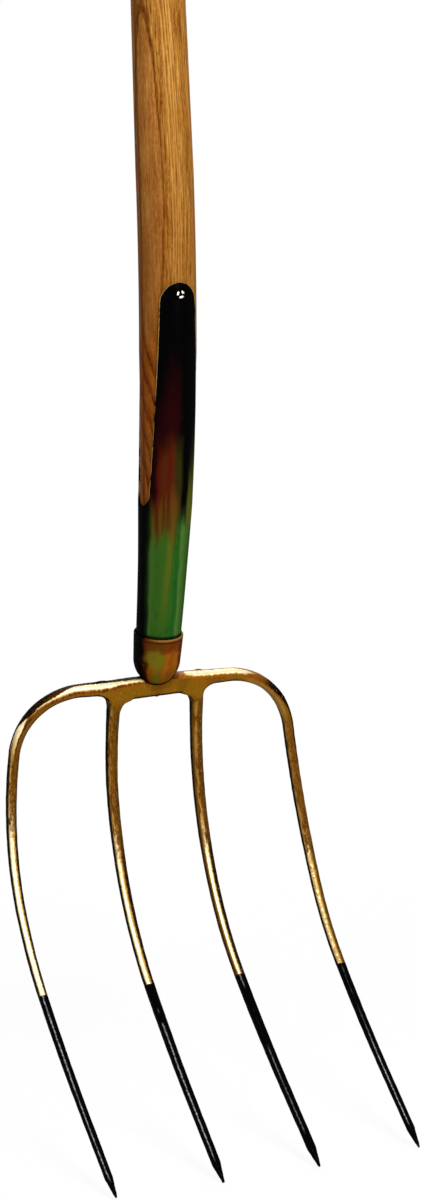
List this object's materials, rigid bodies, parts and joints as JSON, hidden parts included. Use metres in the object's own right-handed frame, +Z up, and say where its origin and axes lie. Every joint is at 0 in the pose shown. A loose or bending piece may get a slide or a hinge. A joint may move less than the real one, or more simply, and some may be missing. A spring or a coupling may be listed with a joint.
{
  "type": "manure fork",
  "caption": "Long-handled manure fork with a forged bow head of curved pointed tines, a riveted strapped socket and a bent ash handle.",
  "frame": {"origin": "on the shaft's axis, half way up its parallel length", "axes": "+Z up the straight shaft, -Y to the front, the side that the tine points reach towards, +X to the right from the front"},
  "size_m": [0.2278, 0.1809, 1.6762],
  "materials": {
    "ash": "satin oiled",
    "strap_lacquer": "gloss",
    "cup_lacquer": "gloss",
    "head_lacquer": "gloss",
    "rivet_steel": "polished"
  },
  "bodies": {
    "root": {"handle": "ash", "front_strap": "strap_lacquer", "rear_strap": "strap_lacquer", "strap_rivet": "rivet_steel", "neck_cup": "cup_lacquer", "fork_head": "head_lacquer"}
  },
  "joints": []
}
